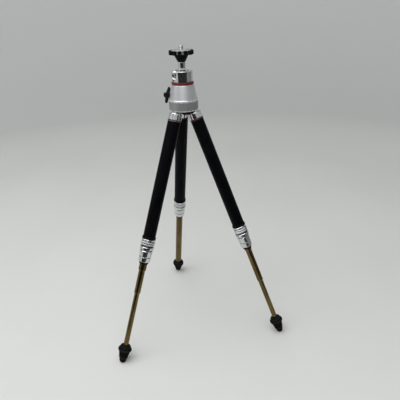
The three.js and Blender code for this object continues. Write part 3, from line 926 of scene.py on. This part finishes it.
def leg_cap_mesh():
    bottom, eye, _ = span("leg_cap_rear", leg_place("rear"))
    collar_top = -5.2 * MM
    collar_bottom = -14 * MM
    radius = 9 * MM
    collar = rounded([
        (0, bottom, 0),
        (TUBE_PLUG, bottom, 0.4 * MM),
        (TUBE_PLUG, collar_bottom, 0),
        (radius, collar_bottom, 0.3 * MM),
        (radius, collar_top, 1.2 * MM),
        (0, collar_top, 0),
    ])
    width = 5.4 * MM
    tongue_foot = collar_top - 1 * MM
    crown_steps = 12
    tongue = [(eye, tongue_foot, 0)]
    for step in range(crown_steps + 1):
        angle = math.pi * step / crown_steps
        tongue.append((eye * math.cos(angle), eye * math.sin(angle), 0))
    tongue.append((-eye, tongue_foot, 0))
    hole = revolve("eye", rod_outline(PIN_BORE, -width, width, 0), 32)
    return combined(
        "leg_cap",
        revolve("leg_cap", collar),
        ("UNION", slab("tongue", tongue, width, 0.35 * MM), AT_ORIGIN),
        ("DIFFERENCE", hole, Matrix.Rotation(math.pi / 2, 4, "X")),
    )


def leg_tube_mesh():
    bottom, top, flare = span("leg_tube_rear", leg_place("rear"))
    radius = 8.75 * MM
    outline = rounded([
        (TUBE_BORE, bottom, 0.2 * MM),
        (flare, bottom, 0.5 * MM),
        (flare, bottom + 1.7 * MM, 0.5 * MM),
        (radius, bottom + 2.9 * MM, 0.8 * MM),
        (radius, top, 0.4 * MM),
        (TUBE_BORE, top, 0.2 * MM),
    ])
    return revolve("leg_tube", outline)


def lock_body_mesh():
    bottom, top, radius = span("lock_body_rear", leg_place("rear"))
    flange_top = -180.7 * MM
    flange_bottom = -182.9 * MM
    chamfer = 0.6 * MM
    outline = rounded([
        (BRASS_BORE, bottom, 0.2 * MM),
        (TUBE_PLUG, bottom, 0.3 * MM),
        (TUBE_PLUG, flange_bottom, 0),
        (radius, flange_bottom, 0.2 * MM),
        (radius, flange_top - chamfer, 0.15 * MM),
        (radius - chamfer, flange_top, 0.15 * MM),
        (TUBE_PLUG, flange_top, 0),
        (TUBE_PLUG, top, 0.3 * MM),
        (BRASS_BORE, top, 0.2 * MM),
    ], fade=0.8 * MM)
    return revolve("lock_body", outline)


def lock_sleeve_mesh():
    """From the bottom up: a tapered end with a line round it, a flange, and a grip of two beads."""
    bottom, top, flange = span("lock_sleeve_rear", leg_place("rear"))
    bead = 9.6 * MM
    groove = 8.5 * MM
    cone = 9.1 * MM
    mouth = 8.3 * MM
    throat = 6.3 * MM
    bore = 7.9 * MM
    line = -207.2 * MM
    line_half = 0.6 * MM
    line_radius = cone + (mouth - cone) * 0.58
    cone_top = -197.7 * MM
    low_flange, high_flange = -196.2 * MM, -192.1 * MM
    low_bead, high_bead = -190.2 * MM, -184.3 * MM
    waist = (low_bead + high_bead) / 2
    flange_chamfer = 0.6 * MM
    bead_chamfer = 0.9 * MM
    outline = rounded([
        (throat, bottom, 0.3 * MM),
        (mouth, bottom, 0.6 * MM),
        (line_radius, line - line_half, 0.2 * MM),
        (line_radius - 0.35 * MM, line, 0.4 * MM),
        (line_radius, line + line_half, 0.2 * MM),
        (cone, cone_top - 0.9 * MM, 0.15 * MM),
        (cone - 0.5 * MM, cone_top, 0.15 * MM),
        (groove - 0.3 * MM, cone_top, 0.2 * MM),
        (groove, low_flange, 0.2 * MM),
        (flange, low_flange, 0.3 * MM),
        (flange, high_flange - flange_chamfer, 0.15 * MM),
        (flange - flange_chamfer, high_flange, 0.15 * MM),
        (groove, high_flange, 0.2 * MM),
        (groove, low_bead, 0.2 * MM),
        (bead, low_bead, 0.3 * MM),
        (bead, waist - bead_chamfer, 0.2 * MM),
        (bead - bead_chamfer, waist, 0.2 * MM),
        (bead, waist + 0.1 * MM, 0.15 * MM),
        (bead, high_bead - bead_chamfer, 0.2 * MM),
        (bead - bead_chamfer, high_bead, 0.2 * MM),
        (groove, top, 0.1 * MM),
        (bore, top, 0),
        (bore, -203 * MM, 0),
        (throat, -212 * MM, 0),
    ], fade=0.8 * MM)
    ribs = 60
    depth = 0.22 * MM
    angles_per_rib = 6

    def ribbed(angle):
        cut = depth * (0.5 - 0.5 * math.cos(ribs * angle))
        points = []
        for radius, height, worn in outline:
            on_bead = low_bead <= height <= high_bead and radius > groove + WELD
            points.append((radius - cut if on_bead else radius, height, worn))
        return points

    return revolve("lock_sleeve", ribbed, ribs * angles_per_rib)


def lock_collet_mesh():
    bottom, top, radius = span("lock_collet_rear", leg_place("rear"))
    outline = rounded([
        (BRASS_BORE, bottom, 0.1 * MM),
        (6.1 * MM, bottom, 0.1 * MM),
        (radius, bottom + 8.4 * MM, 0.5 * MM),
        (radius, top, 0.2 * MM),
        (BRASS_BORE, top, 0.1 * MM),
    ])
    ring = revolve("lock_collet", outline, 64)
    slit = box_mesh("slit", (4 * MM, 1 * MM, 14 * MM), (radius, 0, (bottom + top) / 2))
    return combined("lock_collet", ring, ("DIFFERENCE", slit, AT_ORIGIN))


def foot_mesh():
    """A rubber foot with a round tip, which the floor has worn flat."""
    place = leg_place("rear")
    _, top, bead = span("foot_rear", place)
    tip = 5 * MM
    sole_cut = 0.4 * MM
    bore = 3.95 * MM
    socket = 14.3 * MM
    centre = -(place.translation.z - tip + sole_cut) / place.col[2][2]
    outline = arc(tip, centre, -90, 5, 14) + rounded([
        (tip + 0.1 * MM, centre + 1 * MM, 0),
        (6.4 * MM, top - 20 * MM, 3 * MM),
        (7.6 * MM, top - 13 * MM, 1.5 * MM),
        (8.3 * MM, top - 9.3 * MM, 0.4 * MM),
        (bead, top - 8.5 * MM, 1 * MM),
        (bead, top - 6 * MM, 1 * MM),
        (8 * MM, top - 5 * MM, 0.5 * MM),
        (7.8 * MM, top - 2.4 * MM, 1 * MM),
        (5.6 * MM, top, 0.8 * MM),
        (bore, top, 0.3 * MM),
        (bore, top - socket, 0),
        (0, top - socket, 0),
    ])[1:]
    bm = bmesh.new()
    bm.from_mesh(revolve("foot", outline))
    floor = place.inverted() @ Vector((0, 0, 0))
    up = place.inverted().to_3x3() @ Vector((0, 0, 1))
    everything = [*bm.verts, *bm.edges, *bm.faces]
    cut = bmesh.ops.bisect_plane(bm, geom=everything, plane_co=floor, plane_no=up, clear_inner=True)
    rim = [item for item in cut["geom_cut"] if isinstance(item, bmesh.types.BMEdge)]
    bmesh.ops.contextual_create(bm, geom=rim)
    return finished_mesh("foot", bm)


BRASS_RADII = ((5.5 * MM, 4.8 * MM), (4.5 * MM, 3.95 * MM), (3.65 * MM, 2.9 * MM))


def brass_mesh(index, node, place):
    """A brass tube with a rolled lower rim. The widest has a guide collar at its top."""
    bottom, top, widest = span(node, place)
    outer, inner = BRASS_RADII[index]
    length = top - bottom
    rim = 0.25 * MM
    corners = [(inner, 0, rim), (outer, 0, rim)]
    if widest > outer + 1 * MM:
        guide = length - 3 * MM
        corners += [(outer, guide, 0.1 * MM), (widest, guide, rim), (widest, length, rim)]
    else:
        corners.append((outer, length, rim))
    corners.append((inner, length, rim))
    return revolve(f"brass_tube_{index + 1}", rounded(corners), 72)


def make_legs():
    """Every piece is shaped once, in the rear leg's frame, and stands three times."""
    model = leg_place("rear")
    shapes = {
        "leg_cap": leg_cap_mesh(),
        "leg_tube": leg_tube_mesh(),
        "lock_body": lock_body_mesh(),
        "lock_sleeve": lock_sleeve_mesh(),
        "lock_collet": lock_collet_mesh(),
    }
    rings = (("leg_ring", TUBE_BORE, 0.3 * MM), ("lock_wiper", BRASS_BORE, 0.6 * MM))
    for ring, bore, rounding in rings:
        bottom, top, radius = span(f"{ring}_rear", model)
        shapes[ring] = revolve(ring, tube_outline(radius, bore, bottom, top, rounding))
    pin_end = 7.2 * MM
    pin = revolve("leg_pin", rod_outline(1.4 * MM, -pin_end, pin_end, 0.3 * MM), 32)
    across = Matrix.Rotation(math.pi / 2, 4, "X")
    tubes = [brass_mesh(i, f"brass_tube_{i + 1}_rear", model) for i in range(len(BRASS_RADII))]
    foot = foot_mesh()
    for leg in LEGS:
        place = leg_place(leg)
        for node, mesh in shapes.items():
            stand_for(f"{node}_{leg}", mesh, place)
        stand_for(f"leg_pin_{leg}", pin, place @ across)
        for i, mesh in enumerate(tubes):
            node = f"brass_tube_{i + 1}_{leg}"
            end = span(node, place)[0]
            stand_for(node, mesh, place @ Matrix.Translation((0, 0, end)))
        placed_foot = foot.copy()  # drawn in place, so that its box is no wider than the foot
        placed_foot.transform(place)
        stand_for(f"foot_{leg}", placed_foot, AT_ORIGIN)


# ---------------------------------------------------------------- studio


def direction(heading, pitch):
    """The direction that points a way over the floor, and down by the pitch."""
    level = math.cos(pitch)
    return Vector((math.cos(heading) * level, math.sin(heading) * level, -math.sin(pitch)))


def make_camera():
    distance = 575.1 * MM  # from the head axis, over the floor
    azimuth = math.radians(259.3)
    height = 479.3 * MM
    pan = math.radians(1.71)  # clockwise from the head axis
    pitch = math.radians(24.8)  # down
    roll = math.radians(-2.08)
    heading = azimuth + math.pi - pan
    forward = direction(heading, pitch)
    level_right = direction(heading - math.pi / 2, 0)
    level_up = level_right.cross(forward)
    right = math.cos(roll) * level_right + math.sin(roll) * level_up
    up = -math.sin(roll) * level_right + math.cos(roll) * level_up
    data = bpy.data.cameras.new("camera")
    data.sensor_width = 36
    data.lens = 38.7
    camera = bpy.data.objects.new("camera", data)
    place = HEAD.translation + distance * direction(azimuth, 0) + Vector((0, 0, height))
    turn = Matrix((right, up, -forward)).transposed().to_4x4()
    camera.matrix_world = Matrix.Translation(place) @ turn
    bpy.context.scene.collection.objects.link(camera)
    bpy.context.scene.camera = camera


def swept_stage(name, outline, angles):
    """A stage surface swept about Z from [(reach, height)], through a list of angles."""
    bm = bmesh.new()
    rows = []
    for angle in angles:
        row = []
        for reach, height in outline:
            row.append(bm.verts.new((reach * math.cos(angle), reach * math.sin(angle), height)))
        rows.append(row)
    for row, following in zip(rows, rows[1:]):
        for i in range(len(outline) - 1):
            bm.faces.new((row[i], following[i], following[i + 1], row[i + 1]))
    stage = bpy.data.objects.new(name, finished_mesh(name, bm))
    bpy.context.scene.collection.objects.link(stage)
    return stage


def make_studio():
    """A pale floor that curves up into a round backdrop, painted darker than the floor as shade and lightening
    again higher up.
    """
    radius = 1.6
    curve = 0.7
    height = 1.5
    steps = 16
    outline = [(0.0, 0.0), (radius - curve, 0.0)]
    for step in range(1, steps + 1):
        angle = math.pi / 2 * step / steps
        reach = radius - curve + curve * math.sin(angle)
        outline.append((reach, curve - curve * math.cos(angle)))
    outline.append((radius, height))
    floor = swept_stage("floor", outline, even_angles(96) + [2 * math.pi])
    finish = Finish("paper", Specular_IOR_Level=0.1, Roughness=0.85)
    cloud = finish.spread(finish.grain(0.25), 0.3, 0.7)
    paper = finish.mix(cloud, rgb(0.72, 0.725, 0.705), rgb(0.69, 0.695, 0.68))
    foot_of_wall = finish.spread(finish.height(), 0.0, 0.06)
    upper_wall = finish.spread(finish.height(), 0.12, 0.6)
    # Painted shade: the backdrop is darker than the floor, darkest just above its foot.
    shaded_wall = finish.mix(upper_wall, rgb(0.58, 0.59, 0.58), rgb(0.66, 0.67, 0.67))
    finish.set("Base Color", finish.mix(foot_of_wall, paper, shaded_wall))
    floor.data.materials.append(finish.material)


def aimed(place, target):
    """A placement at a point whose -Z looks at the target."""
    turn = (Vector(target) - Vector(place)).to_track_quat("-Z", "Y")
    return Matrix.Translation(place) @ turn.to_matrix().to_4x4()


def make_lights():
    middle = (HEAD.translation.x, HEAD.translation.y, 0.2)
    panels = (
        ("top_panel", (-0.45, -0.3, 1.5), (1.6, 1.6), 20.5),
        ("left_panel", (-1.2, -0.2, 0.6), (0.5, 0.8), 0.5),
        ("front_window", (-0.2, -1.25, 0.95), (1.3, 0.3), 2.4),
    )
    for name, place, size, power in panels:
        data = bpy.data.lights.new(name, "AREA")
        data.shape = "RECTANGLE"
        data.size, data.size_y = size
        data.energy = power
        light = bpy.data.objects.new(name, data)
        light.matrix_world = aimed(place, middle)
        light.visible_camera = False
        bpy.context.scene.collection.objects.link(light)
    world = bpy.data.worlds.new("studio")
    world.use_nodes = True
    background = world.node_tree.nodes["Background"]
    background.inputs["Color"].default_value = rgb(0.9, 0.92, 0.93)
    background.inputs["Strength"].default_value = 0.22
    bpy.context.scene.world = world
    bpy.context.scene.view_settings.view_transform = "Standard"


def make_dim_room(name, left_end, right_end, shade):
    """Part of the dim room beyond the table, between two azimuths. Only shiny surfaces see it."""
    outline = ((0.42, 0.002), (0.97, 0.014), (0.97, 0.38))
    steps = 24
    angles = []
    for step in range(steps + 1):
        angles.append(math.radians(left_end + (right_end - left_end) * step / steps))
    room = swept_stage(name, outline, angles)
    room.matrix_world = Matrix.Translation((HEAD.translation.x, HEAD.translation.y, 0))
    for kind in ("camera", "diffuse", "shadow", "transmission"):
        setattr(room, f"visible_{kind}", False)
    finish = Finish(name, Base_Color=grey(shade), Roughness=1.0, Specular_IOR_Level=0.0)
    room.data.materials.append(finish.material)


make_housing()
make_leg_hub()
make_hub_screws()
make_rings()
make_set_screw()
make_socket()
make_ball_stem()
make_stud()
make_seat_plate()
make_star_nut()
make_inner_head()
make_wing_screw()
make_legs()
make_camera()
make_studio()
make_lights()
make_dim_room("dark_room", 210, 309, 0.045)
make_dim_room("side_room", 309, 375, 0.3)
